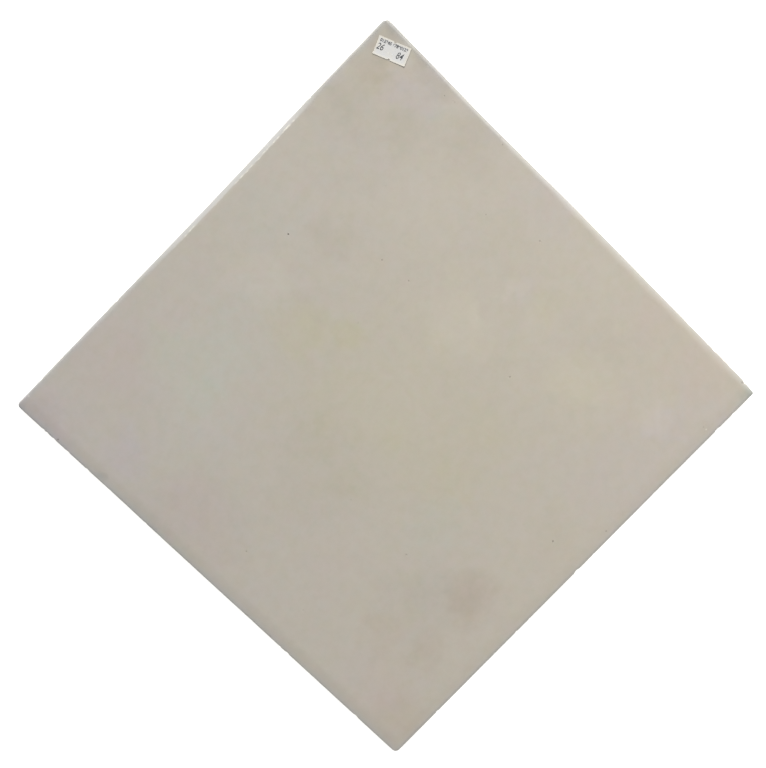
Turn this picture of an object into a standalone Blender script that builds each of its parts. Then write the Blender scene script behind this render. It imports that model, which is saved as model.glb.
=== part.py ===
"""Square glazed ceramic tile, 12 inches a side, with a cushion edge, a keyed back and a paper price label.

Metres, +Z up. The tile lies on its back: the ribs of the back rest on z = 0, the glazed face looks up,
the sides run along X and Y, and the origin is under the middle of the tile.
"""

from math import cos, pi, radians, sin, sqrt

import bmesh
import bpy
from mathutils import Matrix, Vector

# Tile: plan and thickness, and the radius of the corner that each side ends in
TILE_SIDE = 0.3048
TILE_THICKNESS = 0.008
CORNER_RADII = {"right": 0.0032, "back": 0.0026, "left": 0.0031, "front": 0.0010}

# Cushion edge: how far the face falls to the flank, and for each side how far in from the rim it starts
# to fall and how round the fall is, 2 being a quarter ellipse
CUSHION_DROP = 0.0017
CUSHIONS = {"right": (0.0042, 1.9), "back": (0.0032, 1.45), "left": (0.0105, 2.1), "front": (0.0020, 1.5)}
BACK_ARRIS = 0.0008

# Kiln waves: how far each side lies inside its straight line, at even stations along it, anticlockwise,
# and how far in from the rim they reach
SIDE_WAVES = {
    "right": (0.00035, 0.00029, 0.00012, 0.0, 0.0, 0.00045, 0.00080, 0.00050, 0.00035),
    "back": (0.00012, 0.0, 0.0, 0.00047, 0.00058, 0.00052, 0.00028, 0.00012, 0.00012),
    "left": (0.0, 0.00005, 0.00020, 0.00002, 0.0, 0.00005, 0.0, 0.0, 0.0),
    "front": (0.0, 0.0, 0.00005, 0.0, 0.00002, 0.00010, 0.00010, 0.00005, 0.00010),
}
WAVE_BAND = 0.022

# Worn corner: the right side has been cut back straight over its start, and the glaze is drawn in with it
WORN_RUN = 0.0150
WORN_DEPTH = 0.0013
WORN_BAND = 0.0040

# Keyed back: a flat land round the rim, and a grid of drafted pockets between ribs
BACK_LAND = 0.0080
RIB_WIDTH = 0.0036
POCKET_PITCH = 0.0290
POCKET_DEPTH = 0.0009
POCKET_DRAFT = 0.0004
POCKET_CORNER = 0.0030

# Price label: its size, the notches in its long edges, and its place near one corner of the face
LABEL_LENGTH = 0.0194
LABEL_WIDTH = 0.0108
LABEL_THICKNESS = 0.0001
LABEL_GAP = 0.0003
LABEL_FROM_RIGHT = 0.0116
LABEL_FROM_BACK = 0.0154
LABEL_TURN = radians(-68)
NOTCH_RADIUS = 0.0008
NOTCH_CUT_DEPTH = 0.0010

# How finely the curves are divided
SIDE_STEPS = 32
CORNER_STEPS = 4
CUSHION_STEPS = 6
POCKET_CORNER_STEPS = 2
LABEL_CELL = 0.0020
NOTCH_SIDES = 16

GLAZE_COLOUR = (188, 182, 169)
GLAZE_ROUGHNESS = 0.35
PAPER_COLOUR = (222, 219, 210)
PAPER_ROUGHNESS = 0.8
SMOOTH_ANGLE = radians(35)


def clear_scene():
    """Remove every object, so that the model starts from an empty scene."""
    for obj in list(bpy.data.objects):
        bpy.data.objects.remove(obj, do_unlink=True)


def new_collection(name):
    collection = bpy.data.collections.new(name)
    bpy.context.scene.collection.children.link(collection)
    return collection


def linear(channel):
    """One sRGB channel, 0 to 255, as the linear value that a shader takes."""
    value = channel / 255
    return value / 12.92 if value <= 0.04045 else ((value + 0.055) / 1.055) ** 2.4


def new_material(name, colour, roughness):
    material = bpy.data.materials.new(name)
    material.use_nodes = True
    shader = material.node_tree.nodes["Principled BSDF"]
    shader.inputs["Base Color"].default_value = (*map(linear, colour), 1)
    shader.inputs["Roughness"].default_value = roughness
    shader.inputs["Metallic"].default_value = 0
    return material


def new_object(name, bm, collection):
    mesh = bpy.data.meshes.new(name)
    bm.to_mesh(mesh)
    bm.free()
    obj = bpy.data.objects.new(name, mesh)
    collection.objects.link(obj)
    return obj


def as_cutter(obj):
    obj.hide_render = True
    obj.display_type = "WIRE"
    return obj


def cut(obj, cutter):
    boolean = obj.modifiers.new(cutter.name, "BOOLEAN")
    boolean.operation = "DIFFERENCE"
    boolean.solver = "EXACT"
    boolean.object = cutter


def smooth(share):
    """A share from 0 to 1, eased at both ends."""
    share = min(max(share, 0), 1)
    return share * share * (3 - 2 * share)


def side_wave(side, share):
    """How far a side lies inside its straight line, at a share of its length from -1 to 1."""
    stations = SIDE_WAVES[side]
    place = min(max(share + 1, 0), 2) / 2 * (len(stations) - 1)
    index = min(int(place), len(stations) - 2)
    part = smooth(place - index)
    return stations[index] * (1 - part) + stations[index + 1] * part


def pushed(x, y):
    """A point of the plan, moved in by the waves of the sides it lies near and by the worn corner's cut."""
    half = TILE_SIDE / 2
    start = Vector((x, y))
    point = start.copy()
    for turn, side in enumerate(SIDE_WAVES):
        outward = Vector((round(cos(turn * pi / 2)), round(sin(turn * pi / 2))))
        share = start.dot(Vector((-outward.y, outward.x))) / half
        inset = half - start.dot(outward)
        point -= outward * side_wave(side, share) * smooth(1 - inset / WAVE_BAND)
    past = max(1 - (half + y) / WORN_RUN, 0)
    point.x -= WORN_DEPTH * past * max(1 - (half - x) / WORN_BAND, 0)
    return point


def outline(insets):
    """Points of the plan outline, anticlockwise from the right side, at its own distance inside each side."""
    half = TILE_SIDE / 2
    sides = list(CORNER_RADII)
    points = []
    for turn, side in enumerate(sides):
        before, after = sides[turn - 1], sides[(turn + 1) % len(sides)]
        radius = CORNER_RADII[side]
        across = half - insets[side]
        low = insets[before] + CORNER_RADII[before] - half
        high = half - insets[after] - radius
        quarter = [(across, low + (high - low) * step / SIDE_STEPS) for step in range(SIDE_STEPS)]
        for step in range(CORNER_STEPS):
            angle = step / CORNER_STEPS * pi / 2
            quarter.append((across - radius * (1 - cos(angle)), high + radius * sin(angle)))
        turned = Matrix.Rotation(turn * pi / 2, 2)
        points += [pushed(*(turned @ Vector(place))) for place in quarter]
    return points


def cushion_inset(side, rise):
    """How far in from a side the cushion has risen by a share of its drop."""
    width, roundness = CUSHIONS[side]
    return width * (1 - (1 - rise**roundness) ** (1 / roundness))


def rim_rings():
    """The rings of the rim, from the back up to the glazed face: each side's inset, and the height."""
    shoulder = TILE_THICKNESS - CUSHION_DROP
    rings = [
        (dict.fromkeys(CUSHIONS, BACK_ARRIS), 0),
        (dict.fromkeys(CUSHIONS, 0), BACK_ARRIS),
        (dict.fromkeys(CUSHIONS, 0), shoulder),
    ]
    for step in range(1, CUSHION_STEPS + 1):
        rise = sin(step / CUSHION_STEPS * pi / 2)
        insets = {side: cushion_inset(side, rise) for side in CUSHIONS}
        rings.append((insets, shoulder + CUSHION_DROP * rise))
    return rings


def face_height(x, y):
    """Height of the glazed face over a point of the plan near the label, with its fall to the rim."""
    half = TILE_SIDE / 2
    rises = []
    for side, inset, share in (("right", half - x, y / half), ("back", half - y, -x / half)):
        width, roundness = CUSHIONS[side]
        fall = min(max(1 - (inset - side_wave(side, share)) / width, 0), 1)
        rises.append((1 - fall**roundness) ** (1 / roundness))
    return TILE_THICKNESS - CUSHION_DROP * (1 - min(rises))


def tile_blank():
    """The tile before its back is keyed: the outline, extruded ring by ring up the section of the rim."""
    bm = bmesh.new()
    (back_insets, back_height), *rings = rim_rings()
    back = bm.faces.new([bm.verts.new((x, y, back_height)) for x, y in outline(back_insets)])
    face = back
    for insets, height in rings:
        grown = bmesh.ops.extrude_face_region(bm, geom=[face])["geom"]
        if face is not back:
            bmesh.ops.delete(bm, geom=[face], context="FACES_ONLY")
        face = next(item for item in grown if isinstance(item, bmesh.types.BMFace))
        for vert, (x, y) in zip(face.verts, outline(insets)):
            vert.co = (x, y, height)
    bmesh.ops.recalc_face_normals(bm, faces=bm.faces)
    return bm


def pocket_cutter(side):
    """One drafted pocket of the back, centred on the plane of the ribs, with its corners rounded."""
    bm = bmesh.new()
    bmesh.ops.create_cone(
        bm,
        cap_ends=True,
        segments=4,
        radius1=(side / 2 + POCKET_DRAFT) * sqrt(2),
        radius2=(side / 2 - POCKET_DRAFT) * sqrt(2),
        depth=2 * POCKET_DEPTH,
        matrix=Matrix.Rotation(pi / 4, 4, "Z"),
    )
    corners = [edge for edge in bm.edges if abs(edge.verts[0].co.z - edge.verts[1].co.z) > POCKET_DEPTH]
    bmesh.ops.bevel(
        bm,
        geom=corners,
        offset=POCKET_CORNER,
        segments=POCKET_CORNER_STEPS,
        profile=0.5,
        affect="EDGES",
    )
    return bm


def make_tile(collection, cutters):
    """The fired tile: the cushion-edged blank with a grid of pockets cut in its back."""
    tile = new_object("tile", tile_blank(), collection)
    tile.data.materials.append(new_material("satin_glaze", GLAZE_COLOUR, GLAZE_ROUGHNESS))

    keyed = TILE_SIDE - 2 * BACK_LAND
    count = round((keyed + RIB_WIDTH) / POCKET_PITCH)
    pitch = (keyed + RIB_WIDTH) / count
    pockets = as_cutter(new_object("back_pockets", pocket_cutter(pitch - RIB_WIDTH), cutters))
    first = -(count - 1) * pitch / 2
    pockets.location = (first, first, 0)
    for axis in range(2):
        array = pockets.modifiers.new("XY"[axis], "ARRAY")
        array.use_relative_offset = False
        array.use_constant_offset = True
        array.constant_offset_displace = (pitch * (axis == 0), pitch * (axis == 1), 0)
        array.count = count
    cut(tile, pockets)

    tile.data.shade_smooth()
    tile.data.set_sharp_from_angle(angle=SMOOTH_ANGLE)
    return tile


def label_sheet(centre):
    """The label's underside: a grid of cells, bent down where the face under it falls to the rim."""
    bm = bmesh.new()
    bmesh.ops.create_grid(
        bm,
        x_segments=round(LABEL_LENGTH / LABEL_CELL),
        y_segments=round(LABEL_WIDTH / LABEL_CELL),
        size=0.5,
    )
    bmesh.ops.scale(bm, verts=bm.verts, vec=(LABEL_LENGTH, LABEL_WIDTH, 1))
    for vert in bm.verts:
        x = centre[0] + vert.co.x * cos(LABEL_TURN) - vert.co.y * sin(LABEL_TURN)
        y = centre[1] + vert.co.x * sin(LABEL_TURN) + vert.co.y * cos(LABEL_TURN)
        vert.co.z = face_height(x, y) - TILE_THICKNESS
    return bm


def make_price_label(collection, cutters, tile):
    """The paper label stuck on the face, notched at the middle of both long edges."""
    centre = (TILE_SIDE / 2 - LABEL_FROM_RIGHT, TILE_SIDE / 2 - LABEL_FROM_BACK)
    label = new_object("price_label", label_sheet(centre), collection)
    label.data.materials.append(new_material("label_paper", PAPER_COLOUR, PAPER_ROUGHNESS))
    label.parent = tile
    label.location = (*centre, TILE_THICKNESS + LABEL_GAP)
    label.rotation_euler.z = LABEL_TURN

    solidify = label.modifiers.new("paper", "SOLIDIFY")
    solidify.thickness = LABEL_THICKNESS
    solidify.offset = 1

    for name, edge in (("upper_notch", 1), ("lower_notch", -1)):
        bm = bmesh.new()
        bmesh.ops.create_cone(
            bm,
            cap_ends=True,
            segments=NOTCH_SIDES,
            radius1=NOTCH_RADIUS,
            radius2=NOTCH_RADIUS,
            depth=NOTCH_CUT_DEPTH,
        )
        notch = as_cutter(new_object(name, bm, cutters))
        notch.parent = label
        notch.location.y = edge * LABEL_WIDTH / 2
        cut(label, notch)
    return label


def main():
    clear_scene()
    parts = new_collection("ceramic_tile")
    cutters = new_collection("cutters")
    tile = make_tile(parts, cutters)
    make_price_label(parts, cutters, tile)


if __name__ == "__main__":
    main()
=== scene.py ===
"""Looks of the square ceramic tile, in metres, +Z up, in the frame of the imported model.

The fired body has a cushion edge that the kiln has left a little uneven, clouds and pinholes in its satin
glaze, bare clay low on its flanks and a keyed back. The paper price label carries plain figures. A pale
studio stage and a camera that looks down on the tile go round them. It is laid out as a Blender add-on.
"""

from math import cos, hypot, pi, radians, sin, sqrt

import bmesh
import bpy
from bpy.props import FloatProperty, FloatVectorProperty, IntProperty, PointerProperty, StringProperty
from mathutils import Matrix, Vector, noise
from mathutils.kdtree import KDTree


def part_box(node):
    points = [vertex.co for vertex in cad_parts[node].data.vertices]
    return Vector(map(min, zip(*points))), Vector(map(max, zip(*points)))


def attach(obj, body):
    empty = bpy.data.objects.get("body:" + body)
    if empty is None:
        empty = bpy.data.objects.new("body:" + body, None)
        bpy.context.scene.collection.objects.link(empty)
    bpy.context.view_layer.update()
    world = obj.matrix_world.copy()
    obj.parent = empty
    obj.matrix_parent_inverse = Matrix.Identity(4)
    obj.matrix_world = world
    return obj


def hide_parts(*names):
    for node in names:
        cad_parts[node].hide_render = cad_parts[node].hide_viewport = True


bl_info = {
    "name": "Ceramic Tile",
    "version": (1, 0, 0),
    "blender": (4, 5, 0),
    "location": "View3D > Sidebar > Ceramic Tile",
    "description": "Builds a square glazed tile with a price label, and a pale studio stage for it",
    "category": "Add Mesh",
}

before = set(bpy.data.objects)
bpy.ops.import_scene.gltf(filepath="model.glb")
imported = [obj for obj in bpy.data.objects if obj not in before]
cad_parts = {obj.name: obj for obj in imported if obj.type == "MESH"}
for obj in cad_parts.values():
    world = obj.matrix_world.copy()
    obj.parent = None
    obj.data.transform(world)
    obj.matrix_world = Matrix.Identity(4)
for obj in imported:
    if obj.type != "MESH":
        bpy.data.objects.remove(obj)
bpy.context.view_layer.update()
TILE_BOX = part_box("tile")
LABEL_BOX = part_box("price_label")

# Kiln waves: how far each side lies inside its straight line, at even stations along it, anticlockwise
SIDE_WAVES = {
    "right": (0.00035, 0.00029, 0.00012, 0.0, 0.0, 0.00045, 0.00080, 0.00050, 0.00035),
    "back": (0.00012, 0.0, 0.0, 0.00047, 0.00058, 0.00052, 0.00028, 0.00012, 0.00012),
    "left": (0.0, 0.00005, 0.00020, 0.00002, 0.0, 0.00005, 0.0, 0.0, 0.0),
    "front": (0.0, 0.0, 0.00005, 0.0, 0.00002, 0.00010, 0.00010, 0.00005, 0.00010),
}

# Cushion of each side: how far in from the rim the face starts to fall, at even stations, anticlockwise,
# how round the fall is, and what share of the whole drop it makes
CUSHIONS = {
    "right": ((0.0034, 0.0052, 0.0050, 0.0047, 0.0042, 0.0035, 0.0027, 0.0023, 0.0022), 1.8, 0.9),
    "back": ((0.0014, 0.0013, 0.0036, 0.0046, 0.0041, 0.0022, 0.0023, 0.0014, 0.0012), 1.5, 0.9),
    "left": ((0.0012, 0.0012), 1.7, 1.0),
    "front": ((0.0019, 0.0019), 1.5, 1.0),
}

# Sag of each side before its cushion: how far in it starts, and how deep it has become at the rim
SAGS = {
    "right": (0.0060, 0.0),
    "back": (0.0060, 0.0),
    "left": (0.0088, 0.0010),
    "front": (0.0088, 0.0007),
}

# The way into the tile from each side
WAYS_IN = {"right": (-1, 0), "back": (0, -1), "left": (1, 0), "front": (0, 1)}

# Radius of each corner in plan, by the signs of its X and Y
CORNER_RADII = {(1, 1): 0.0032, (-1, 1): 0.0026, (1, -1): 0.0010, (-1, -1): 0.0031}

# Pinholes in the glaze: place on the face, diameter, and how dark each has gone, or how pale below 0
PINHOLES = (
    (0.0265, 0.1081, 0.0011, 0.9),
    (0.0533, 0.0597, 0.0014, 0.3),
    (0.0555, 0.0404, 0.0009, 0.45),
    (0.1246, 0.0021, 0.0012, 0.35),
    (0.0569, -0.0409, 0.0012, 0.4),
    (0.0055, -0.1285, 0.0011, 0.7),
    (-0.0604, -0.0709, 0.0011, 0.3),
    (-0.1237, -0.0015, 0.0009, 0.5),
    (0.1134, 0.0350, 0.0008, 0.35),
    (0.0849, 0.0874, 0.0008, 0.15),
    (0.0180, 0.0445, 0.0008, 0.25),
    (0.0318, -0.1473, 0.0010, 0.5),
    (-0.1263, -0.0501, 0.0008, 0.25),
    (-0.0592, -0.0245, 0.0008, 0.2),
    (-0.1507, 0.1217, 0.0010, 0.8),
    (0.1160, -0.1468, 0.0012, -0.35),
    (0.1508, -0.1424, 0.0014, 0.5),
    (-0.1432, 0.1508, 0.0012, -0.3),
    (0.1446, 0.0987, 0.0008, 0.5),
    (0.1461, 0.0933, 0.0006, 0.3),
    (0.1462, 0.0921, 0.0007, 0.4),
    (0.1507, 0.0595, 0.0008, 0.35),
    (0.1485, 0.0561, 0.0009, 0.35),
    (0.1158, -0.1445, 0.0007, 0.4),
)

# Chips and dents in the rim: place on the outline, how far along it each reaches, and how far in it bites
RIM_CHIPS = (
    (0.0025, -0.1524, 0.0026, 0.0007),
    (0.1524, -0.1438, 0.0016, 0.0006),
    (0.1524, -0.1310, 0.0022, 0.0004),
    (0.1524, -0.1170, 0.0022, 0.0004),
    (0.1524, -0.0950, 0.0018, 0.0003),
    (0.1524, 0.0420, 0.0016, 0.0003),
    (0.0900, 0.1524, 0.0020, 0.0003),
    (-0.1524, 0.1290, 0.0016, 0.0004),
    (-0.1524, 0.1130, 0.0018, 0.0003),
)

# Lumps in the unevenness of the rim: across one, along a stretch of stronger ones, and in nicks and chips
RAG_LUMP = 0.0040
RAG_STRETCH = 0.0210
NICK_LUMP = 0.0028
CHIP_LUMP = 0.0015

# Unevenness of the cushion's width, and rise and fall of the face: size of the lumps and their share
WIDTH_LUMPS = ((0.0130, 0.16), (0.0035, 0.10))
SWELL_LUMPS = ((0.0450, 0.5), (0.0160, 0.2))

# Pit of a pinhole: its depth for its diameter, and where its stain starts to fade and ends, in its radii
PIT_DEPTH = 0.3
STAIN_FADE = 0.5
STAIN_END = 1.2

# Angle between faces past which a pressed edge is rounded, and past which shading shows an edge
CREASE_ANGLE = radians(20)
SHARP_ANGLE = radians(28)

# Clouds in the glaze, by tint: where each lies on the face, how far it spreads and how strong it is
CLOUDS = {
    "teal_tint": (
        (-0.061, 0.095, 0.036, 0.25),
        (-0.093, 0.061, 0.024, 0.15),
        (-0.052, 0.091, 0.029, 0.2),
        (-0.075, 0.081, 0.015, 0.2),
        (0.027, 0.125, 0.023, 0.2),
        (-0.011, 0.094, 0.014, 0.15),
        (-0.038, -0.069, 0.017, 0.3),
        (0.132, 0.090, 0.007, 0.3),
        (0.035, -0.106, 0.013, 0.15),
        (0.147, -0.147, 0.007, 0.5),
    ),
    "olive_tint": (
        (-0.004, 0.062, 0.016, 0.2),
        (0.003, -0.004, 0.076, 0.3),
        (0.010, 0.043, 0.012, 0.65),
        (0.026, -0.053, 0.017, 0.3),
        (0.103, -0.033, 0.012, 0.4),
        (-0.016, -0.018, 0.021, 0.2),
        (-0.011, -0.058, 0.021, 0.35),
        (-0.008, 0.066, 0.020, 0.45),
        (0.081, -0.072, 0.020, 0.2),
        (-0.019, 0.023, 0.023, 0.15),
    ),
    "umber_tint": (
        (-0.056, -0.119, 0.016, 0.3),
        (-0.094, -0.120, 0.016, 0.3),
        (0.009, 0.073, 0.012, 0.2),
        (0.083, -0.040, 0.010, 0.15),
        (0.148, 0.146, 0.012, 0.8),
        (0.127, 0.141, 0.014, 0.9),
        (0.148, 0.120, 0.014, 0.7),
        (0.145, 0.102, 0.010, 0.6),
        (0.100, 0.139, 0.014, 0.6),
        (-0.080, -0.003, 0.020, 0.3),
        (-0.083, -0.088, 0.018, 0.3),
        (0.1059, -0.0679, 0.018, 0.35),
        (0.116, 0.114, 0.024, 0.5),
        (0.114, 0.134, 0.014, 0.35),
        (0.112, 0.100, 0.012, 0.4),
        (0.043, 0.088, 0.015, 0.6),
        (-0.048, 0.015, 0.023, 0.4),
        (-0.058, -0.018, 0.017, 0.4),
        (0.131, 0.065, 0.020, 0.6),
        (0.009, -0.123, 0.016, 0.25),
        (0.112, 0.021, 0.014, 0.25),
        (-0.076, 0.120, 0.014, 0.15),
    ),
    "rust_tint": (
        (-0.133, -0.138, 0.020, 0.6),
        (0.126, 0.136, 0.014, 0.3),
        (-0.056, -0.119, 0.019, 0.6),
        (-0.104, -0.094, 0.014, 0.5),
        (-0.093, -0.123, 0.013, 0.4),
    ),
    "pale_tint": (
        (0.065, -0.051, 0.014, 0.2),
        (-0.061, 0.095, 0.036, 0.35),
        (-0.086, 0.071, 0.024, 0.2),
        (0.001, -0.002, 0.035, 0.2),
        (0.089, -0.034, 0.018, 0.35),
        (0.085, -0.068, 0.018, 0.3),
        (0.093, 0.060, 0.024, 0.15),
        (0.061, 0.004, 0.026, 0.7),
        (0.072, -0.006, 0.007, 0.3),
        (0.095, -0.007, 0.007, 0.7),
        (0.087, -0.078, 0.023, 0.4),
        (-0.006, 0.101, 0.017, 0.55),
        (0.102, -0.122, 0.012, 0.8),
        (0.139, -0.026, 0.035, 0.15),
    ),
    "rose_tint": (
        (-0.098, 0.130, 0.026, 0.3),
        (-0.142, 0.136, 0.016, 0.3),
        (-0.045, 0.121, 0.014, 0.25),
        (0.140, -0.076, 0.017, 0.35),
        (0.141, -0.117, 0.026, 0.3),
        (0.093, -0.097, 0.013, 0.2),
        (-0.129, 0.041, 0.021, 0.4),
        (-0.094, -0.041, 0.023, 0.15),
        (-0.134, 0.014, 0.017, 0.25),
        (-0.127, -0.114, 0.023, 0.35),
        (-0.076, 0.136, 0.015, 0.2),
    ),
    "lilac_tint": (
        (-0.108, 0.090, 0.022, 0.2),
        (0.112, -0.146, 0.028, 0.5),
        (-0.142, 0.129, 0.023, 0.3),
        (0.130, 0.105, 0.014, 0.4),
        (0.127, 0.122, 0.011, 0.5),
        (-0.130, 0.090, 0.017, 0.55),
        (0.142, 0.108, 0.020, 0.3),
        (0.145, 0.013, 0.023, 0.4),
        (0.060, -0.132, 0.035, 0.45),
        (-0.090, 0.058, 0.014, 0.25),
        (0.100, -0.125, 0.015, 0.7),
        (0.098, -0.009, 0.008, 0.5),
        (0.154, 0.063, 0.015, 0.2),
    ),
    # Partly dirt, partly painted shade that dims the cushion's light near the corners and along the rims
    "grime_and_shade": (
        (-0.141, 0.056, 0.022, 0.08),
        (0.120, 0.090, 0.022, 0.07),
        (-0.066, -0.105, 0.022, 0.05),
        (0.088, 0.119, 0.030, 0.07),
        (-0.123, 0.025, 0.028, 0.08),
        (-0.066, -0.105, 0.025, 0.08),
        (0.150, 0.108, 0.016, 0.12),
        (0.151, 0.070, 0.016, 0.1),
        (0.100, 0.150, 0.012, 0.1),
        (0.135, 0.146, 0.010, 0.1),
        (0.152, 0.152, 0.006, 0.25),
        (0.146, 0.152, 0.006, 0.2),
        (0.135, 0.152, 0.007, 0.1),
        (0.122, 0.152, 0.007, 0.1),
        (0.153, 0.144, 0.010, 0.26),
        (0.153, 0.133, 0.010, 0.24),
        (0.153, 0.122, 0.010, 0.2),
        (0.149, -0.149, 0.006, 0.2),
        (-0.151, 0.151, 0.006, 0.3),
        (-0.147, 0.138, 0.014, 0.12),
        (-0.1524, 0.090, 0.004, 0.25),
        (-0.1524, 0.050, 0.004, 0.25),
    ),
}

# Blotches all over the glaze, by tint: how far apart they lie
BLOTCHES = {
    "umber_tint": 0.005,
    "teal_tint": 0.007,
    "rose_tint": 0.009,
    "olive_tint": 0.012,
    "lilac_tint": 0.016,
}

# Drifts that fray the clouds: the size of each one's lumps, and its reach, half of it either way
DRIFTS = ((0.045, 0.030), (0.009, 0.020))

# Mottling of the glaze's brightness: its darkest, then each layer's lumps, roughness and what it adds
DULLEST = 0.975
MOTTLES = ((0.0016, 0.70, 0.007), (0.0080, 0.65, 0.034))

# How much warmer the glaze is per metre along X and Y, in shares of its warm side
WARM_SLOPE = (3.12, -3.20, 0)

# Worn crest with its painted glint, in from the back side, and its stretch, along X: where each starts, is
# full, fades and ends
CREST_FROM_BACK = (0.0021, 0.0025, 0.0030, 0.0034)
WORN_GLINT_STRETCH = (-0.060, 0.0, 0.070, 0.094)

# Glaze drawn thinner over the back shoulder, lightened there as a painted highlight, in from the back
# side: where it ends and where it is thinnest
THIN_FROM_BACK = (0.0033, 0.0024)

# Label's grid along and across it, and how much its points crowd to the notches
LABEL_CELLS = (44, 22)
NOTCH_CROWDING = 0.65

# Share of the way to the label's edge at which its paper starts to look worn
WORN_FROM = 0.72

# Painted shadow beside the label: how far past its edges it is full, and how it keeps in from the two
# unshaded ones
SHADOW_FULL = 0.0001
UNSHADED_LEFT = (0.0004, 0.0012)
UNSHADED_UPPER = 0.0008

# What the paper's red, green and blue are multiplied by where it is worn and grubby
WORN_PAPER = (1.10, 1.03, 0.88)

# Print of the label, by its text: height, breadth, slant and weight of the figures, and their middle
PRINT = {
    "left_figures": (0.0053, 0.78, 0.25, 0.005, (-0.0071, -0.0004)),
    "right_figures": (0.0055, 0.72, 0.25, 0.005, (0.0049, -0.0012)),
    "header": (0.0025, 0.92, 0.10, 0.032, (-0.0001, 0.0033)),
}

# Point of the face in the middle of the picture, as X and Y
AIM = (0.00260, 0.00950)

# Place of each light from there, to the picture's right, up it and towards the camera, and its width
SOFTBOXES = {"key": ((0.1, 3.2, 1.9), 1.6), "fill": ((1.0, 0.9, 1.1), 0.9)}

# Half of the floor's width, and how far it lies under the tile
FLOOR_HALF = 3.0
FLOOR_GAP = 0.0001


def srgb(red, green, blue):
    """A colour given as 0 to 255 per channel, as the linear values that shaders take."""
    shares = [channel / 255 for channel in (red, green, blue)]
    return tuple(s / 12.92 if s <= 0.04045 else ((s + 0.055) / 1.055) ** 2.4 for s in shares)


def length(name, description, default):
    """A size property, in metres."""
    return FloatProperty(
        name=name, description=description, default=default, min=0, precision=5, unit="LENGTH"
    )


def colour(name, description, default):
    """A colour property, whose default is given as 0 to 255 per channel."""
    return FloatVectorProperty(
        name=name, description=description, default=srgb(*default), min=0, max=1, size=3, subtype="COLOR"
    )


def angle(name, description, default):
    """An angle property, whose default is given in degrees."""
    return FloatProperty(name=name, description=description, default=radians(default), subtype="ANGLE")


def number(name, description, default, unit="NONE"):
    """A number that isn't negative, in a unit of its own where it has one."""
    return FloatProperty(name=name, description=description, default=default, min=0, unit=unit)


def whole(name, description, default):
    """A number of steps or cuts."""
    return IntProperty(name=name, description=description, default=default, min=1)


class TileShape(bpy.types.PropertyGroup):
    """Sizes of the fired body, from the cushion edge round to the keyed back."""

    cushion_drop: length("Cushion drop", "How far the face falls to the top of the flank", 0.0017)
    worn_run: length("Worn run", "How far from the worn corner its side has been cut back", 0.0150)
    worn_depth: length("Worn depth", "How far in that side has been cut at the corner", 0.0013)
    back_arris: length("Back arris", "Radius between the flank and the back", 0.0008)
    back_land: length("Back land", "Width of the flat band round the keyed back", 0.0080)
    rib_width: length("Rib width", "Width of the ribs between the pockets", 0.0036)
    pocket_pitch: length("Pocket pitch", "Distance between the middles of neighbouring pockets", 0.0290)
    pocket_depth: length("Pocket depth", "How deep the pockets of the back are", 0.0009)
    pocket_draft: length("Pocket draft", "How far a pocket narrows over its depth", 0.0008)
    pocket_corner: length("Pocket corner", "Radius of a pocket's corners", 0.0030)
    soft_edge: length("Soft edge", "How much the pressed edges of the back are rounded", 0.00025)
    undulation: length("Undulation", "How far the glazed face rises and falls", 0.00005)
    rag: length("Rag", "How far the fired rim strays from a true line", 0.00016)
    rag_band: length("Rag band", "How far in from the rim its unevenness reaches", 0.0020)
    worn_band: length("Worn band", "How far in from the worn side its cut has drawn the glaze", 0.0040)
    wave_band: length("Wave band", "How far in from the rim the kiln waves reach", 0.0220)
    face_cell: length("Face cell", "Distance between the working grid's lines on the face", 0.0024)
    rim_band: length("Rim band", "Width of the band by the rim where its lines lie closer", 0.0105)
    rim_steps: whole("Rim steps", "Lines of the working grid in that band", 24)
    rim_cuts: whole("Rim cuts", "Extra cuts across each cell of the band", 2)
    flank_steps: whole("Flank steps", "Steps of the grid down the straight flank", 6)
    arris_steps: whole("Arris steps", "Steps of the grid round the back arris", 3)
    pit_cell: length("Pit cell", "Distance between the grid's lines in a pinhole", 0.0003)


class GlazeLook(bpy.types.PropertyGroup):
    """Colours of the glaze, of its clouds and of the clay under it."""

    glaze: colour("Glaze", "The satin glaze between its clouds", (184, 177, 165))
    warm_side: colour("Warm side", "The glaze at the corner that has fired warmer", (189, 181, 166))
    teal_tint: colour("Teal tint", "Grey-green clouds", (177, 178, 167))
    olive_tint: colour("Olive tint", "Yellowish clouds", (183, 177, 155))
    umber_tint: colour("Umber tint", "Brownish clouds", (178, 171, 157))
    rust_tint: colour("Rust tint", "Reddish brown clouds, most at the front left", (180, 169, 156))
    pale_tint: colour("Pale tint", "Pale clouds", (190, 183, 169))
    rose_tint: colour("Rose tint", "Pinkish clouds", (187, 173, 165))
    lilac_tint: colour("Lilac tint", "Cool clouds", (183, 175, 171))
    rim_tint: colour("Rim tint", "The cooler glaze of the cushion edge", (181, 178, 171))
    # Partly dirt, partly painted shade at the corners and rims, and the colour of the painted shadow
    # beside the label
    grime_and_shade: colour("Grime", "Dirt, strongest at the corners and beside the label", (150, 147, 143))
    # Partly glaze drawn thinner, partly a painted highlight on the shoulder that faces the key light
    thin_glaze_and_sheen: colour("Thin glaze", "Glaze that has drawn thin over the back shoulder", (222, 222, 222))
    # Pale specks on the worn crest, partly wear and partly a painted glint; also the pale pinholes
    pale_wear_and_glint: colour("Worn crest", "Flecks where the shoulder's crest has worn", (240, 236, 222))
    pinhole: colour("Pinhole", "Dirt in the pinholes", (92, 84, 74))
    clay: colour("Clay", "Bare fired clay of the back", (214, 196, 168))
    roughness: number("Roughness", "Roughness of the glaze", 0.42)
    rim_fade: length("Rim fade", "How far in from the rim the cooler glaze reaches", 0.0050)
    glaze_line: length("Glaze line", "Height above the back at which the glaze stops", 0.0022)
    line_fade: length("Line fade", "How far above and below that line the glaze fades", 0.00015)
    relief: length("Relief", "Depth of the finest relief of the glaze and the clay", 0.0001)


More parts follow.
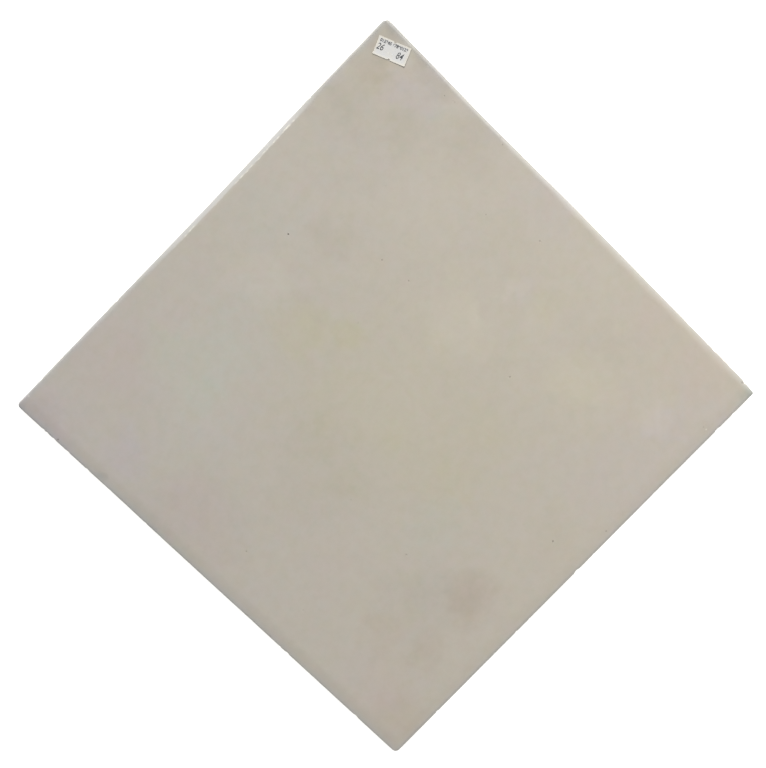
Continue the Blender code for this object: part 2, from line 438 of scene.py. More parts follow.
class LabelShape(bpy.types.PropertyGroup):
    """Size, lie and print of the price label."""

    length: length("Length", "Length of the label along its print", 0.0194)
    width: length("Width", "Width of the label", 0.0108)
    thickness: length("Thickness", "Thickness of the paper", 0.0001)
    notch: length("Notch", "Radius of the notches in the long edges", 0.0008)
    curl: length("Curl", "How far the label's free ends have lifted", 0.0002)
    ink_depth: length("Ink depth", "How far the print stands out from the paper", 0.00002)
    # Reach of the painted shadow beside the label
    shadow_reach: length("Dirt reach", "How far from the label the dirt beside it reaches", 0.0007)
    turn: angle("Turn", "Direction of the print, from +X", -68.0)
    left_figures: StringProperty(name="Left", description="Plain figures at the left", default="26")
    right_figures: StringProperty(name="Right", description="Plain figures at the right", default="84")
    header: StringProperty(name="Header", description="Small plain figures", default="012345 67890123")
    paper: colour("Paper", "The label's paper", (207, 207, 206))
    ink: colour("Ink", "The print", (38, 42, 50))


class StudioLook(bpy.types.PropertyGroup):
    """The camera's place and the light."""

    lens: number("Lens", "Focal length in millimetres", 47.0, "CAMERA")
    distance: length("Distance", "From the camera to the face of the tile", 0.5814)
    lean_x: angle("Lean to +X", "How far the camera stands off to +X", 2.33)
    lean_y: angle("Lean to +Y", "How far the camera stands off to +Y", 5.59)
    roll: angle("Roll", "Direction of the picture's upright on the tile, from +X", 44.23)
    key_power: number("Key", "Power of the key light", 102.0, "POWER")
    fill_power: number("Fill", "Power of the fill light", 10.3, "POWER")
    fill_colour: colour("Fill colour", "Warm light from the side", (255, 252, 246))
    sky: number("Sky", "Strength of the even light all round", 0.555)
    floor: colour("Floor", "The studio floor", (243, 243, 242))
    floor_glow: number("Floor glow", "Strength of the light that the floor adds", 0.65)


def smooth(share):
    """A share from 0 to 1, eased at both ends."""
    share = min(max(share, 0), 1)
    return share * share * (3 - 2 * share)


def at_share(stations, share):
    """What a side's stations come to at a share of its length from -1 to 1."""
    place = min(max(share + 1, 0), 2) / 2 * (len(stations) - 1)
    index = min(int(place), len(stations) - 2)
    part = smooth(place - index)
    return stations[index] * (1 - part) + stations[index + 1] * part


def grain(x, y, z, size):
    """Smooth noise from -1 to 1, whose lumps are about a size across."""
    return noise.noise(Vector((x, y, z)) / size)


def along_side(side, x, y):
    """How far along a side a point lies, from its middle, anticlockwise."""
    way_x, way_y = WAYS_IN[side]
    return x * way_y - y * way_x


def shaded(tone, share):
    """A colour darkened to a share of itself."""
    return tuple(share * channel for channel in tone)


class Signal:
    """A shader socket that takes part in Python sums: each operator adds its Math node."""

    def __init__(self, paint, socket):
        self.paint = paint
        self.socket = socket

    def __add__(self, other):
        return self.paint.math("ADD", self, other)

    __radd__ = __add__

    def __sub__(self, other):
        return self.paint.math("SUBTRACT", self, other)

    def __rsub__(self, other):
        return self.paint.math("SUBTRACT", other, self)

    def __mul__(self, other):
        return self.paint.math("MULTIPLY", self, other)

    __rmul__ = __mul__


class Paint:
    """A material and the nodes that are added to it."""

    MIX_SHARE, MIX_FIRST, MIX_SECOND, MIX_RESULT = 0, 6, 7, 2

    def __init__(self, name):
        self.material = bpy.data.materials.new(name)
        self.material.use_nodes = True
        self.tree = self.material.node_tree
        self.surface = self.tree.nodes["Principled BSDF"]

    def feed(self, socket, value):
        """Link a signal to a socket, or set the socket's own value."""
        if isinstance(value, Signal):
            self.tree.links.new(value.socket, socket)
        elif socket.type == "RGBA":
            socket.default_value = (*value, 1)
        else:
            socket.default_value = value

    def node(self, kind, settings, sockets, result=0):
        """Add a node with its settings first, which decide its sockets, then its values and links."""
        node = self.tree.nodes.new(kind)
        for name, value in settings.items():
            setattr(node, name, value)
        for name, value in sockets.items():
            self.feed(node.inputs[name], value)
        return Signal(self, node.outputs[result])

    def math(self, operation, *values):
        return self.node("ShaderNodeMath", {"operation": operation}, dict(enumerate(values)))

    def vector(self, operation, *values, result=0):
        return self.node("ShaderNodeVectorMath", {"operation": operation}, dict(enumerate(values)), result)

    def mix(self, first, second, share):
        """One colour turning into another as the share goes from 0 to 1."""
        sockets = {self.MIX_SHARE: share, self.MIX_FIRST: first, self.MIX_SECOND: second}
        return self.node("ShaderNodeMix", {"data_type": "RGBA"}, sockets, self.MIX_RESULT)

    def place(self):
        return self.node("ShaderNodeTexCoord", {}, {}, "Object")

    def noise(self, place, size, detail=2.0, roughness=0.5, result="Fac"):
        """Noise whose lumps are about a size across, in metres."""
        sockets = {"Vector": place, "Scale": 1 / size, "Detail": detail, "Roughness": roughness}
        return self.node("ShaderNodeTexNoise", {"noise_dimensions": "3D"}, sockets, result)

    def lean(self, colour, plain, tinted, share):
        """A colour, moved by a share of the way from a plain colour to a tinted one."""
        return self.vector("MULTIPLY_ADD", share, Vector(tinted) - Vector(plain), colour)

    def drift(self, place, size, reach):
        """How far a place is carried off, each way by up to half of the reach, in lumps of a size."""
        lumps = self.noise(place, size, 3, result="Color")
        return self.vector("MULTIPLY_ADD", lumps, (reach,) * 3, (-reach / 2,) * 3)

    def ease(self, value, start, end):
        """A signal that goes from 0 to 1, eased, as the value goes from start to end."""
        sockets = {"Value": value, "From Min": start, "From Max": end}
        return self.node("ShaderNodeMapRange", {"interpolation_type": "SMOOTHSTEP"}, sockets)

    def band(self, value, start, full, fade, end):
        """A signal that rises from 0 to 1, stays there and falls back, as the value passes four marks."""
        return self.ease(value, start, full) * self.ease(value, end, fade)

    def stray(self, value, place, size, reach):
        """A value moved either way by up to half of the reach, in lumps of a size."""
        return value + reach * self.noise(place, size, 3) - reach / 2

    def attribute(self, name):
        return self.node("ShaderNodeAttribute", {"attribute_name": name}, {}, "Fac")

    def bump(self, height, depth):
        """Relief of a depth in metres, as the height goes from 0 to 1."""
        return self.node("ShaderNodeBump", {}, {"Height": height, "Distance": depth}, "Normal")

    def finish(self, sockets):
        """Give the surface shader its values and links."""
        for name, value in sockets.items():
            self.feed(self.surface.inputs[name], value)
        return self.material


def painted_label_shadow(paint, place, label):
    """The painted shadow along the lower and the right edge of the label, from 0 to 1."""
    centre = label_centre()
    along_way = Vector((cos(label.turn), sin(label.turn), 0))
    across_way = Vector((-along_way.y, along_way.x, 0))
    along = paint.vector("DOT_PRODUCT", place, along_way, result="Value") - centre.dot(along_way)
    across = paint.vector("DOT_PRODUCT", place, across_way, result="Value") - centre.dot(across_way)
    end, side, reach = label.length / 2, label.width / 2, label.shadow_reach
    left = [inset - end for inset in UNSHADED_LEFT]
    lengthways = paint.band(along, *left, end + SHADOW_FULL, end + reach)
    return lengthways * paint.band(across, -side - reach, -side - SHADOW_FULL, side - UNSHADED_UPPER, side)


def clouded_glaze(paint, place, patches, look):
    """The glaze over the face: warmer to one corner, clouded, blotched, mottled and cooler at the rim."""
    drifted = place
    for size, reach in DRIFTS:
        drifted = paint.vector("ADD", drifted, paint.drift(place, size, reach))
    flat = paint.vector("MULTIPLY", drifted, (1, 1, 0))

    warmth = paint.vector("DOT_PRODUCT", place, WARM_SLOPE, result="Value")
    glaze = paint.lean(look.glaze, look.glaze, look.warm_side, warmth)
    for tint, clouds in CLOUDS.items():
        cover = 0
        for x, y, spread, strength in clouds:
            away = paint.vector("DISTANCE", flat, (x, y, 0), result="Value")
            cover = cover + strength * paint.ease(away, 1.3 * spread, 0.3 * spread)
        glaze = paint.lean(glaze, look.glaze, getattr(look, tint), cover * (0.2 + 1.6 * patches))
    for tint, size in BLOTCHES.items():
        blotches = paint.ease(paint.noise(place, size, 4, 0.65), 0.45, 0.65)
        glaze = paint.lean(glaze, look.glaze, getattr(look, tint), 0.22 * blotches)
    cool = paint.ease(paint.attribute("from_rim"), look.rim_fade, 0.0004)
    glaze = paint.lean(glaze, look.glaze, look.rim_tint, cool)

    bright = DULLEST
    for size, roughness, gain in MOTTLES:
        bright = bright + gain * paint.ease(paint.noise(place, size, 4, roughness), 0.3, 0.7)
    return paint.vector("MULTIPLY", glaze, bright)


def shoulder_wear_and_sheen(paint, place):
    """Glaze drawn thinner along the back shoulder with a painted highlight, the bare specks in it with
    their painted glint, and its worn crest, each from 0 to 1.
    """
    across = paint.node("ShaderNodeSeparateXYZ", {}, {"Vector": place}, "X")
    from_back = paint.stray(paint.attribute("from_back"), place, 0.004, 0.0006)
    crest = paint.band(from_back, *CREST_FROM_BACK)
    middle = paint.band(across, *WORN_GLINT_STRETCH)
    dashes = paint.noise(paint.vector("MULTIPLY", place, (0.4, 1, 1)), 0.0009, 3, 0.6)
    worn = crest * middle * paint.ease(paint.noise(place, 0.011, 2), 0.42, 0.58)
    # Bright specks on the worn crest, partly wear and partly a painted glint
    flecks_and_glint = (0.35 * paint.ease(dashes, 0.35, 0.6) + 0.5 * paint.ease(dashes, 0.56, 0.66)) * worn
    # Share of the pale glaze: drawn thinner, and a painted highlight on the shoulder
    thin = paint.ease(from_back, *THIN_FROM_BACK) * (0.02 + 0.3 * middle)
    return thin, flecks_and_glint, worn


def gritty_clay(paint, place, look):
    """The clay's colour, dark in its grit and brownish in places, and the grit itself."""
    grit = paint.noise(place, 0.0009, 4, 0.7)
    clay = paint.mix(look.clay, shaded(look.clay, 0.72), paint.ease(grit, 0.5, 0.8))
    brownish = paint.ease(paint.noise(place, 0.03, 3), 0.5, 0.75)
    return paint.mix(clay, look.umber_tint, 0.35 * brownish), grit


def glaze_material(look, label):
    """Satin glaze with faint clouds, painted shade at the corners and beside the label, drawn thinner and
    pale with a painted highlight over the back shoulder, and the bare clay under it.
    """
    paint = Paint("satin_glaze")
    place = paint.place()
    patches = paint.noise(place, 0.014, 5, 0.65)
    thin, flecks_and_glint, worn = shoulder_wear_and_sheen(paint, place)
    pinhole = paint.attribute("pinhole")

    glaze = clouded_glaze(paint, place, patches, look)
    # Painted highlight on the back shoulder, where the glaze is also drawn thinner
    glaze = paint.mix(glaze, look.thin_glaze_and_sheen, thin)
    # Worn specks on the crest, lightened as a painted glint
    glaze = paint.mix(glaze, look.pale_wear_and_glint, flecks_and_glint)
    # Painted shadow along the label's lower and right edges
    glaze = paint.mix(glaze, look.grime_and_shade, 0.7 * painted_label_shadow(paint, place, label))
    glaze = paint.mix(glaze, look.pinhole, pinhole)
    glaze = paint.mix(glaze, look.pale_wear_and_glint, -1 * pinhole)

    height = paint.node("ShaderNodeSeparateXYZ", {}, {"Vector": place}, "Z")
    ragged = paint.stray(height, place, 0.006, 0.0016)
    bare = paint.ease(ragged, look.glaze_line + look.line_fade, look.glaze_line - look.line_fade)
    clay, grit = gritty_clay(paint, place, look)

    peel = paint.noise(place, 0.0035, 2)
    satin = look.roughness + 0.10 * (patches - 0.5) + 0.25 * pinhole
    relief = (0.35 * peel + 0.5 * worn) * (1 - bare) + grit * bare
    return paint.finish(
        {
            "Base Color": paint.mix(glaze, clay, bare),
            "Roughness": satin * (1 - bare) + 0.85 * bare,
            "Normal": paint.bump(relief, look.relief),
        }
    )


def paper_material(shape):
    """Uncoated label paper, a little grubby towards its edges."""
    paint = Paint("label_paper")
    place = paint.place()
    fibres = paint.noise(paint.vector("MULTIPLY", place, (1, 2.5, 1)), 0.0005, 3, 0.6)
    grubby = paint.ease(paint.noise(place, 0.004, 3), 0.45, 0.75)
    edge = paint.attribute("label_edge")
    worn = tuple(channel * share for channel, share in zip(shape.paper, WORN_PAPER))
    paper = paint.mix(shape.paper, worn, 0.35 * grubby + 0.65 * edge)
    return paint.finish({"Base Color": paper, "Roughness": 0.75, "Normal": paint.bump(fibres, 0.00002)})


def ink_material(shape):
    """Stamped ink that has taken unevenly."""
    paint = Paint("label_ink")
    patchy = paint.ease(paint.noise(paint.place(), 0.0006, 3, 0.6), 0.35, 0.75)
    pale = tuple(0.8 * ink + 0.2 * paper for ink, paper in zip(shape.ink, shape.paper))
    return paint.finish({"Base Color": paint.mix(shape.ink, pale, patchy), "Roughness": 0.6})


def floor_material(look):
    """Matt pale studio floor."""
    paint = Paint("studio_floor")
    shade = paint.noise(paint.place(), 0.4, 2)
    return paint.finish(
        {
            "Base Color": paint.mix(look.floor, shaded(look.floor, 0.985), shade),
            "Roughness": 0.9,
            "Emission Color": look.floor,
            "Emission Strength": look.floor_glow,
        }
    )


class TileForm:
    """Where each point of the flat working grid lies on the fired tile."""

    def __init__(self, shape):
        high = TILE_BOX[1]
        self.half = high.x
        self.shape = shape
        self.arris = shape.back_arris
        self.face = high.z - shape.undulation
        self.shoulder = self.face - shape.cushion_drop
        self.reach = self.shoulder - self.arris + self.arris * pi / 2

    def outline(self, x, y):
        """A grid point with its corner rounded, its distance in from the rim, and the way out there."""
        corner = (1 if x > 0 else -1, 1 if y > 0 else -1)
        radius = CORNER_RADII[corner]
        from_x, from_y = self.half - abs(x), self.half - abs(y)
        if from_x >= radius or from_y >= radius:
            if from_x < from_y:
                return x, y, from_x, corner[0], 0
            return x, y, from_y, 0, corner[1]
        a, b = 1 - from_x / radius, 1 - from_y / radius
        across, along = a * sqrt(1 - b * b / 2), b * sqrt(1 - a * a / 2)
        span = hypot(across, along)
        x = corner[0] * (self.half - radius + radius * across)
        y = corner[1] * (self.half - radius + radius * along)
        out_x, out_y = (across / span, along / span) if span else (0, 0)
        return x, y, radius * (1 - span), corner[0] * out_x, corner[1] * out_y

    def side_push(self, x, y):
        """How far the kiln waves of the four sides push a point in, along X and along Y."""
        push = Vector((0, 0))
        for side, way in WAYS_IN.items():
            inset = self.half + x * way[0] + y * way[1]
            wave = at_share(SIDE_WAVES[side], along_side(side, x, y) / self.half)
            push += Vector(way) * wave * smooth(1 - inset / self.shape.wave_band)
        return push

    def cut_back(self, x, y):
        """How far in along X the straight cut at the worn corner has moved a grid point."""
        past = max(1 - (self.half + y) / self.shape.worn_run, 0)
        return self.shape.worn_depth * past * max(1 - (self.half - x) / self.shape.worn_band, 0)

    def bite(self, x, y, height):
        """How far the rim is worn in at a place: an uneven line all round, and the chips that show."""
        rag = self.shape.rag
        stretch = 0.5 + 0.5 * grain(x, y, 0, RAG_STRETCH)
        worn = rag * (0.5 + 0.5 * grain(x, y, height, RAG_LUMP)) * stretch
        worn += 2.2 * rag * smooth((grain(x, y, height, NICK_LUMP) - 0.42) / 0.3)
        for chip_x, chip_y, along, depth in RIM_CHIPS:
            away = hypot(x - chip_x, y - chip_y) / along
            if away < 1:
                worn += depth * (1 - smooth(away)) * (0.8 + 0.3 * grain(x, y, height, CHIP_LUMP))
        return worn

    def cushion(self, x, y):
        """How far the face has fallen at a grid point, as the two nearest sides' cushions meet."""
        sides = ("right" if x > 0 else "left", "back" if y > 0 else "front")
        falls, sags, roundness, drop = [], [], 0, 0
        (broad, broad_share), (fine, fine_share) = WIDTH_LUMPS
        uneven = 1 + broad_share * grain(x, y, 0, broad) + fine_share * grain(x, y, 0.05, fine)
        for side, from_side in zip(sides, (self.half - abs(x), self.half - abs(y))):
            widths, side_roundness, side_drop = CUSHIONS[side]
            width = at_share(widths, along_side(side, x, y) / self.half)
            falls.append(max(1 - from_side / (width * uneven), 0))
            roundness += side_roundness * falls[-1]
            drop += side_drop * falls[-1]
            reach, depth = SAGS[side]
            sags.append(depth * max(1 - from_side / reach, 0) ** 1.6)
        sag = hypot(*sags)
        if not any(falls):
            return sag
        fall = min(sum(fall**6 for fall in falls) ** (1 / 6), 1)
        roundness /= sum(falls)
        drop *= self.shape.cushion_drop / sum(falls)
        return sag + (drop - sag) * (1 - (1 - fall**roundness) ** (1 / roundness))

    def section(self, run):
        """How far in and how high the side is, at a run down from the shoulder and on under the back."""
        straight = self.shoulder - self.arris
        if run <= straight:
            return 0, self.shoulder - run
        turn = min((run - straight) / self.arris, pi / 2)
        return self.arris * (1 - cos(turn)) + max(run - self.reach, 0), self.arris * (1 - sin(turn))

    def formed(self, x, y, run):
        """The point of the tile for a grid point that lies a run down the side."""
        pull, height = self.section(run)
        push = self.side_push(x, y)
        cut = self.cut_back(x, y)
        push.x -= cut
        if run == 0:
            swell = sum(share * grain(x, y, 0, size) for size, share in SWELL_LUMPS)
            height = self.face - self.cushion(x - cut, y) + self.shape.undulation * swell
        x, y, inset, out_x, out_y = self.outline(x, y)
        near_rim = smooth(1 - inset / self.shape.rag_band) * smooth(height / self.arris)
        inward = pull + self.bite(x, y, height) * near_rim
        return Vector((x + push.x - inward * out_x, y + push.y - inward * out_y, height))


def working_grid(shape, half):
    """A flat square grid over the tile's plan, with its lines close together on the cushion."""
    band = shape.rim_band
    cells = round(2 * (half - band) / shape.face_cell)
    steps = cells + 2 * shape.rim_steps
    bm = bmesh.new()
    bmesh.ops.create_grid(bm, x_segments=steps, y_segments=steps, size=steps / 2)

    def spread(line):
        """Where a line of the even grid goes."""
        from_side = steps / 2 - abs(line)
        if from_side < shape.rim_steps:
            inset = band * (from_side / shape.rim_steps) ** 1.5
        else:
            inset = band + (from_side - shape.rim_steps) * 2 * (half - band) / cells
        return (half - inset) * (1 if line > 0 else -1)

    for vert in bm.verts:
        vert.co.x = spread(round(2 * vert.co.x) / 2)
        vert.co.y = spread(round(2 * vert.co.y) / 2)
    return bm


def add_flank(bm, runs):
    """Extrude the grid's rim down, once for each run along the section, with the run kept as depth."""
    rim = [edge for edge in bm.edges if edge.is_boundary]
    for run in runs:
        grown = bmesh.ops.extrude_edge_only(bm, edges=rim)["geom"]
        for vert in grown:
            if isinstance(vert, bmesh.types.BMVert):
                vert.co.z = -run
        rim = [edge for edge in grown if isinstance(edge, bmesh.types.BMEdge) and edge.is_boundary]


def refine_rim(bm, half, band, cell, cuts):
    """Cut the cells of the rim across, so that the uneven edge has enough points along it."""

    def along_rim(edge):
        first, second = edge.verts[0].co, edge.verts[1].co
        run = second - first
        middle = (first + second) / 2
        if abs(run.x) > abs(run.y):
            return half - abs(middle.y) < 1.01 * band
        return half - abs(middle.x) < 1.01 * band

    long_edges = [edge for edge in bm.edges if edge.calc_length() > cell / 2 and along_rim(edge)]
    bmesh.ops.subdivide_edges(bm, edges=long_edges, cuts=cuts, use_grid_fill=True)


def refine_pinholes(bm, cell, rounds=4):
    """Halve the cells round the pinholes until they are small enough to hold a pit."""
    pits = KDTree(len(PINHOLES))
    for index, (x, y, _, _) in enumerate(PINHOLES):
        pits.insert((x, y, 0), index)
    pits.balance()
    for _ in range(rounds):
        coarse = []
        for edge in bm.edges:
            if edge.calc_length() > 1.2 * cell:
                middle = (edge.verts[0].co + edge.verts[1].co) / 2
                _, index, away = pits.find(middle)
                if away < PINHOLES[index][2] + edge.calc_length() / 2:
                    coarse.append(edge)
        bmesh.ops.subdivide_edges(bm, edges=coarse, cuts=1, use_grid_fill=True)


def form_body(bm, form):
    """Move the flat grid's points to their places on the tile, and note what the glaze needs to know."""
    pinhole = bm.verts.layers.float.new("pinhole")
    from_back = bm.verts.layers.float.new("from_back")
    from_rim = bm.verts.layers.float.new("from_rim")
    for vert in bm.verts:
        x, y, run = vert.co.x, vert.co.y, -vert.co.z
        vert[from_back] = form.half - y
        vert[from_rim] = form.half - max(abs(x), abs(y))
        vert.co = form.formed(x, y, run)
        if run > 0:
            continue
        for pit_x, pit_y, across, dark in PINHOLES:
            away = 2 * hypot(x - pit_x, y - pit_y) / across
            if away < STAIN_END:
                vert.co.z -= PIT_DEPTH * across * abs(dark) * (1 - smooth(away))
                vert[pinhole] += dark * (1 - smooth((away - STAIN_FADE) / (STAIN_END - STAIN_FADE)))


def keyed_back(bm, shape, half):
    """The pressed back: a grid of cells, each inset for its ribs and sunk with a draft into a pocket."""
    keyed = 2 * (half - shape.back_land)
    count = round((keyed + shape.rib_width) / shape.pocket_pitch)
    before = set(bm.verts)
    bmesh.ops.create_grid(bm, x_segments=count, y_segments=count, size=(keyed + shape.rib_width) / 2)
    pockets = [face for face in bm.faces if face.verts[0] not in before]
    bmesh.ops.inset_individual(bm, faces=pockets, thickness=shape.rib_width / 2, use_even_offset=True)
    bmesh.ops.inset_individual(
        bm, faces=pockets, thickness=shape.pocket_draft, depth=shape.pocket_depth, use_even_offset=True
    )

    def soften(chosen, radius, steps):
        """Round the chosen edges of the keyed back."""
        geom = [edge for edge in bm.edges if edge.verts[0] not in before and chosen(edge)]
        bmesh.ops.bevel(
            bm, geom=geom, offset=radius, segments=steps, profile=0.5, affect="EDGES", material=-1,
            clamp_overlap=True
        )

    def is_wall(edge):
        return abs(edge.verts[0].co.z - edge.verts[1].co.z) > shape.pocket_depth / 2

    def is_crease(edge):
        return len(edge.link_faces) == 2 and edge.calc_face_angle() > CREASE_ANGLE

    soften(is_wall, shape.pocket_corner, 3)
    soften(is_crease, shape.soft_edge, 2)


def mesh_object(name, bm, material):
    """An object at the origin, made from a bmesh, with one material."""
    mesh = bpy.data.meshes.new(name)
    bm.to_mesh(mesh)
    bm.free()
    mesh.materials.append(material)
    piece = bpy.data.objects.new(name, mesh)
    bpy.context.scene.collection.objects.link(piece)
    return piece


def finished_piece(name, bm, material, body):
    """A smoothly shaded mesh object that rides on a body."""
    piece = mesh_object(name, bm, material)
    piece.data.shade_smooth()
    piece.data.set_sharp_from_angle(angle=SHARP_ANGLE)
    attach(piece, body)
    return piece


class CERAMIC_OT_glazed_tile(bpy.types.Operator):
    """Build the fired and glazed body, from its cushion edge to its keyed back"""

    bl_idname = "ceramic.glazed_tile"
    bl_label = "Glazed Tile"

    def execute(self, context):
        shape = context.scene.tile_shape
        form = TileForm(shape)
        bm = working_grid(shape, form.half)
        straight = form.shoulder - form.arris
        turn = form.arris * pi / 2
        runs = [straight * step / shape.flank_steps for step in range(1, shape.flank_steps + 1)]
        runs += [straight + turn * step / shape.arris_steps for step in range(1, shape.arris_steps + 1)]
        runs.append(form.reach + form.arris / 2)
        add_flank(bm, runs)
        refine_rim(bm, form.half, shape.rim_band, shape.face_cell, shape.rim_cuts)
        refine_pinholes(bm, shape.pit_cell)
        form_body(bm, form)

        rim = [edge for edge in bm.edges if edge.is_boundary]
        keyed_back(bm, shape, form.half)
        keys = [edge for edge in bm.edges if edge.is_boundary and edge not in set(rim)]
        bmesh.ops.triangle_fill(bm, use_beauty=True, edges=rim + keys, normal=(0, 0, -1))
        bmesh.ops.recalc_face_normals(bm, faces=bm.faces)
        if any(not edge.is_manifold for edge in bm.edges):
            raise RuntimeError("the tile's body isn't closed")
        glaze = glaze_material(context.scene.glaze_look, context.scene.label_shape)
        tile = finished_piece("glazed_tile", bm, glaze, "root")
        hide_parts("tile")
        return {"FINISHED"}


def label_centre():
    """The middle of the label's solid."""
    low, high = LABEL_BOX
    return (low + high) / 2


def on_label(along, across, shape):
    """The plan place of a point of the label, given along and across its print."""
    centre = label_centre()
    x = centre.x + along * cos(shape.turn) - across * sin(shape.turn)
    y = centre.y + along * sin(shape.turn) + across * cos(shape.turn)
    return x, y


def label_lift(end, side):
    """The share of the label's curl at a point, whose places along and across it go from -1 to 1."""
    right, left, lower = max(end, 0) ** 6, max(-end, 0) ** 8, max(-side, 0) ** 5
    return right + 0.5 * left + 0.9 * lower


def height_under(piece, x, y):
    """The height of a piece's upper surface over a point of the plan."""
    hit, place, _, _ = piece.ray_cast((x, y, 1), (0, 0, -1))
    if not hit:
        raise RuntimeError(f"nothing of {piece.name} lies under the point {x:.4f}, {y:.4f}")
    return place.z


class CERAMIC_OT_price_label(bpy.types.Operator):
    """Build the notched paper label and lay it on the glazed face"""

    bl_idname = "ceramic.price_label"
    bl_label = "Price Label"

    def execute(self, context):
        shape = context.scene.label_shape
        tile = bpy.data.objects["glazed_tile"]
        bm = bmesh.new()
        cells_along, cells_across = LABEL_CELLS
        bmesh.ops.create_grid(bm, x_segments=cells_along, y_segments=cells_across, size=1)
        edge_layer = bm.verts.layers.float.new("label_edge")
        for vert in bm.verts:
            end, side = vert.co.x, vert.co.y
            along = shape.length / 2 * (end + NOTCH_CROWDING * (end**3 - end))
            notch = sqrt(max(shape.notch**2 - along**2, 0))
            across = side * (shape.width / 2 - notch * abs(side) ** 3)
            x, y = on_label(along, across, shape)
            clearance = 0.2 * shape.thickness + shape.curl * label_lift(end, side)
            vert[edge_layer] = smooth((max(abs(end) ** 3, abs(side)) - WORN_FROM) / (1 - WORN_FROM))
            vert.co = (x, y, height_under(tile, x, y) + clearance)
        bmesh.ops.recalc_face_normals(bm, faces=bm.faces)
        bmesh.ops.solidify(bm, geom=bm.faces, thickness=shape.thickness)
        bmesh.ops.recalc_face_normals(bm, faces=bm.faces)
        label = finished_piece("price_label_sheet", bm, paper_material(shape), "root")
        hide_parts("price_label")
        return {"FINISHED"}


def add_figures(bm, text, depth, height, breadth, slant, weight, spot):
    """Add plain figures, flat and drawn narrower, with their middle at a spot of the label."""
    curve = bpy.data.curves.new("figures", "FONT")
    curve.body = text
    curve.size = height
    curve.shear = slant
    curve.offset = weight * height
    curve.align_x = "CENTER"
    curve.align_y = "CENTER"
    curve.extrude = depth
    writer = bpy.data.objects.new("figures", curve)
    bpy.context.scene.collection.objects.link(writer)
    shown = writer.evaluated_get(bpy.context.evaluated_depsgraph_get())
    mesh = bpy.data.meshes.new_from_object(shown)
    mesh.transform(Matrix.Translation((*spot, 0)) @ Matrix.Diagonal((breadth, 1, 1, 1)))
    bm.from_mesh(mesh)
    bpy.data.objects.remove(writer)
    bpy.data.curves.remove(curve)
    bpy.data.meshes.remove(mesh)


class CERAMIC_OT_label_figures(bpy.types.Operator):
    """Print plain figures on the label"""

    bl_idname = "ceramic.label_figures"
    bl_label = "Label Figures"

    def execute(self, context):
        shape = context.scene.label_shape
        label = bpy.data.objects["price_label_sheet"]
        bm = bmesh.new()
        for name, layout in PRINT.items():
            add_figures(bm, getattr(shape, name), shape.ink_depth, *layout)
        bmesh.ops.remove_doubles(bm, verts=bm.verts, dist=1e-7)
        bmesh.ops.triangulate(bm, faces=bm.faces)
        for vert in bm.verts:
            x, y = on_label(vert.co.x, vert.co.y, shape)
            vert.co = (x, y, height_under(label, x, y) + vert.co.z)
        bmesh.ops.recalc_face_normals(bm, faces=bm.faces)
        finished_piece("label_figures", bm, ink_material(shape), "root")
        return {"FINISHED"}


def picture_axes(look):
    """The picture's right and up directions on the tile, and the way from the tile to the camera."""
    back = Vector((sin(look.lean_x), sin(look.lean_y), 0))
    back.z = sqrt(1 - back.length_squared)
    upright = Vector((cos(look.roll), sin(look.roll), 0))
    right = upright.cross(back).normalized()
    return right, back.cross(right), back


def add_softbox(name, place, aim, width, power):
    """A square area light that faces its aim and doesn't show itself."""
    light = bpy.data.lights.new(name, "AREA")
    light.shape = "SQUARE"
    light.size = width
    light.energy = power
    lamp = bpy.data.objects.new(name, light)
    lamp.location = place
    lamp.rotation_euler = (place - aim).to_track_quat("Z", "Y").to_euler()
    lamp.visible_camera = False
    bpy.context.scene.collection.objects.link(lamp)
    return light


def add_floor(look):
    """The studio's square floor, just under the tile."""
    under = Matrix.Translation((0, 0, -FLOOR_GAP))
    bm = bmesh.new()
    bmesh.ops.create_grid(bm, x_segments=1, y_segments=1, size=FLOOR_HALF, matrix=under)
    floor = mesh_object("studio_floor", bm, floor_material(look))


def add_sky(strength):
    """Even white light from all round."""
    world = bpy.data.worlds.new("studio")
    world.use_nodes = True
    sky = world.node_tree.nodes["Background"]
    sky.inputs["Color"].default_value = (1, 1, 1, 1)
    sky.inputs["Strength"].default_value = strength
    bpy.context.scene.world = world


def add_camera(look, aim, axes):
    """The scene's camera, square to the picture's axes, at its distance from the aim."""
    camera = bpy.data.cameras.new("camera")
    camera.lens = look.lens
    camera.sensor_width = 36
    camera.clip_start = 0.01
    viewer = bpy.data.objects.new("camera", camera)
    turn = Matrix(axes).transposed().to_4x4()
    viewer.matrix_world = Matrix.Translation(aim + look.distance * axes[2]) @ turn
    bpy.context.scene.collection.objects.link(viewer)
    bpy.context.scene.camera = viewer


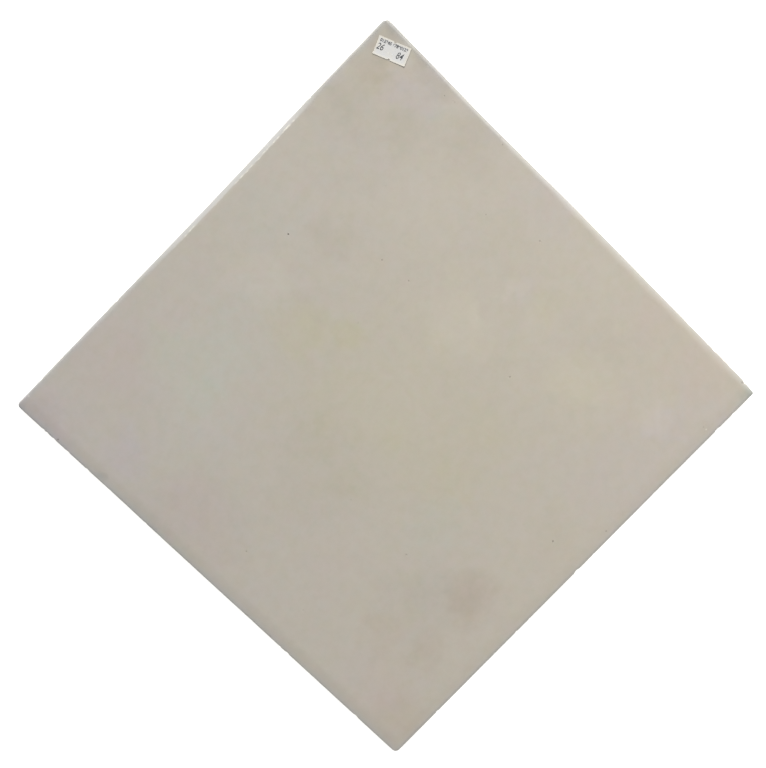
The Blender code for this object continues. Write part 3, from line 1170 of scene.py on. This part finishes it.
class CERAMIC_OT_studio(bpy.types.Operator):
    """Set up the pale floor, the soft light and the camera"""

    bl_idname = "ceramic.studio"
    bl_label = "Studio"

    def execute(self, context):
        look = context.scene.studio_look
        aim = Vector((*AIM, TILE_BOX[1].z))
        axes = picture_axes(look)
        add_floor(look)
        lights = {}
        for name, (place, width) in SOFTBOXES.items():
            away = sum((reach * axis for reach, axis in zip(place, axes)), Vector())
            power = getattr(look, f"{name}_power")
            lights[name] = add_softbox(name, aim + away, aim, width, power)
        lights["fill"].color = look.fill_colour
        add_sky(look.sky)
        add_camera(look, aim, axes)
        context.scene.view_settings.view_transform = "Standard"
        return {"FINISHED"}


OPERATORS = (CERAMIC_OT_glazed_tile, CERAMIC_OT_price_label, CERAMIC_OT_label_figures, CERAMIC_OT_studio)
GROUPS = {
    "tile_shape": TileShape,
    "glaze_look": GlazeLook,
    "label_shape": LabelShape,
    "studio_look": StudioLook,
}


class VIEW3D_PT_ceramic_tile(bpy.types.Panel):
    """The tile's sizes and colours, and the buttons that build it"""

    bl_label = "Ceramic Tile"
    bl_space_type = "VIEW_3D"
    bl_region_type = "UI"
    bl_category = "Ceramic Tile"

    def draw(self, context):
        for group in GROUPS:
            box = self.layout.box()
            settings = getattr(context.scene, group)
            for name in settings.bl_rna.properties.keys():
                if name not in ("rna_type", "name"):
                    box.prop(settings, name)
        for operator in OPERATORS:
            self.layout.operator(operator.bl_idname)


def register():
    for kind in (*GROUPS.values(), *OPERATORS, VIEW3D_PT_ceramic_tile):
        bpy.utils.register_class(kind)
    for name, group in GROUPS.items():
        setattr(bpy.types.Scene, name, PointerProperty(type=group))


def unregister():
    for name in GROUPS:
        delattr(bpy.types.Scene, name)
    for kind in reversed((*GROUPS.values(), *OPERATORS, VIEW3D_PT_ceramic_tile)):
        bpy.utils.unregister_class(kind)


def main():
    register()
    bpy.ops.ceramic.glazed_tile()
    bpy.ops.ceramic.price_label()
    bpy.ops.ceramic.label_figures()
    bpy.ops.ceramic.studio()


if __name__ == "__main__":
    main()
